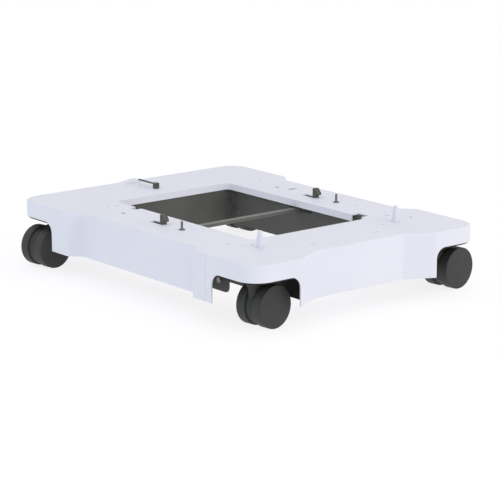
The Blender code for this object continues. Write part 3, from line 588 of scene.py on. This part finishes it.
def wheel_mesh():
    """A wheel about Z: its smooth disc on top, its tread round it, its blind bore below."""
    r, w = WHEEL_RADIUS, WHEEL_WIDTH
    profile = [(0.0, w), (0.010, w), (0.024, w - 0.00015), (r - 0.0026, w - 0.0004)]
    profile += arc((r - 0.0012, w - 0.0016), 0.0012, 90, 0, 5)
    profile += [(r, w * 0.5), (r, 0.0012)]
    profile += arc((r - 0.0012, 0.0012), 0.0012, 0, -90, 4)[1:]
    profile += [(r - 0.0045, 0.0), (r - 0.0055, 0.0025), (0.0105, 0.0025), (0.0098, 0.0),
                (AXLE_RADIUS + GAP, 0.0), (AXLE_RADIUS + GAP, w - 0.0040), (0.0, w - 0.0040)]
    mesh = bake(turned(profile, 96))
    mesh.materials.append(None)
    mesh.materials.append(None)
    for face in mesh.polygons:
        face.material_index = 0 if face.center.z > w - DISC_EDGE else 1
    return mesh


def housing_mesh():
    """The swivelling body: a hood between the wheels that rises into a boss about the stem."""
    half = FORK_WIDTH / 2
    hood = cylinder(0.0345, (TRAIL, -half, WHEEL_RADIUS), (TRAIL, half, WHEEL_RADIUS), 96)
    boss = turned([(0.0, HOUSING_TOP), *arc((0.0115, HOUSING_TOP - 0.001), 0.001, 90, 0, 4),
                   (0.0125, 0.0775), (0.0118, 0.0755), (0.0092, 0.0715), (0.0082, 0.0680),
                   (0.0082, 0.0440), (0.0, 0.0440)], 64)
    web = flat_shape([rounded([(0.0, 0.050, 0), (TRAIL, 0.050, 0), (TRAIL + 0.004, 0.0715, 0.004),
                               (0.010, 0.0775, 0.010), (0.0, 0.0760, 0)])],
                     -half + 0.0012, half - 0.0012, "XZ")
    stem_bore = cylinder(STEM_RADIUS + GAP, (0, 0, 0.0550), (0, 0, 0.1))
    axle_bore = cylinder(AXLE_RADIUS + GAP, (TRAIL, -0.05, WHEEL_RADIUS), (TRAIL, 0.05, WHEEL_RADIUS))
    return bake(hood, joined=[boss, web], removed=[stem_bore, axle_bore])


def make_castors(materials):
    wheel, housing = wheel_mesh(), housing_mesh()
    for end in ENDS:
        for side in SIDES:
            label = end + "_" + side
            swivel = joints["swivel_" + label]
            axle = joints["roll_{}_1".format(label)]
            pivot, hub = Vector(swivel["pos_m"]), Vector(axle["pos_m"])
            turn = math.atan2(hub.y - pivot.y, hub.x - pivot.x)
            stand = Matrix.Translation((pivot.x, pivot.y, 0.0)) @ Matrix.Rotation(turn, 4, "Z")
            node = "castor_housing_" + label
            piece(node + "_body", housing.copy(), materials["housing"], "castor_" + label, [node],
                  stand, edge=0.0008, segments=3)
            for number, facing in ((1, -1), (2, 1)):
                node = "castor_wheel_{}_{}".format(label, number)
                place = stand @ Matrix.Translation((TRAIL, facing * (FORK_WIDTH / 2 + WHEEL_GAP),
                                                    WHEEL_RADIUS))
                place = place @ Matrix.Rotation(math.radians(-90 * facing), 4, "X")
                item = scene_object(node + "_body", wheel.copy())
                item.data.materials.clear()
                item.data.materials.append(materials["wheel_disc"])
                item.data.materials.append(materials["wheel_tread"])
                smooth_by_angle(item.data)
                item.matrix_world = place
                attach(item, "wheel_{}_{}".format(label, number))
                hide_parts(node)


# ---- pieces carried over from the frame -------------------------------------------------------------

def finish_cad_nodes(materials):
    """The frame's own pieces keep their shape and get a finish and softened edges."""
    slots = {row["node"]: row["material_slot"] for row in frame["record"]["subparts"]}
    for name, item in nodes.items():
        if item.hide_render:
            continue
        material = materials[slots[name]]
        item.data.materials.clear()
        item.data.materials.append(material)
        smooth_by_angle(item.data)
        soften(item, 0.0003, 2)


# ---- stage ------------------------------------------------------------------------------------------

def make_floor():
    shape = bmesh.new()
    bmesh.ops.create_grid(shape, x_segments=2, y_segments=2, size=30.0)
    floor = from_bmesh(shape, "floor")
    material, shader = shader_of("floor", 0.9, specular=0.0)
    tree = material.node_tree
    tone = mixed(tree, place_noise(tree, 0.4), (0.17, 0.17, 0.18), (0.18, 0.18, 0.18))
    tree.links.new(tone, shader.inputs["Base Color"])
    shader.inputs["Emission Color"].default_value = (0.99, 0.985, 1.0, 1.0)
    shader.inputs["Emission Strength"].default_value = 0.84
    floor.data.materials.append(material)


def area_light(name, direction, distance, size, watts, colour):
    light = bpy.data.lights.new(name, "AREA")
    light.shape = "DISK"
    light.size = size
    light.energy = watts
    light.color = colour
    item = scene_object(name, light)
    towards = Vector(direction).normalized()
    item.location = towards * distance
    item.rotation_mode = "QUATERNION"
    item.rotation_quaternion = towards.to_track_quat("Z", "Y")


def make_light():
    world = bpy.data.worlds.new("studio")
    world.use_nodes = True
    world.node_tree.nodes["Background"].inputs["Color"].default_value = (1.0, 1.0, 1.0, 1.0)
    world.node_tree.nodes["Background"].inputs["Strength"].default_value = 1.0
    bpy.context.scene.world = world
    area_light("key_right", (0.30, -1.0, 0.40), 3.0, 1.6, 18, (1.0, 0.97, 0.90))
    area_light("fill_left", (-1.0, 0.10, 0.15), 3.0, 1.8, 7, (0.2, 0.8, 1.0))
    bpy.context.scene.view_settings.view_transform = "Standard"


# ---- assembly ---------------------------------------------------------------------------------------

make_camera()
materials = make_materials()
make_covers(materials["white_plastic"])
make_posts(materials["white_plastic"])
make_pins(materials["grey_steel"])
make_hooks(materials["hook_grey"])
make_lever(materials["hook_grey"])
make_castors(materials)
materials["black_nylon"] = materials["housing"]
finish_cad_nodes(materials)
make_floor()
make_light()
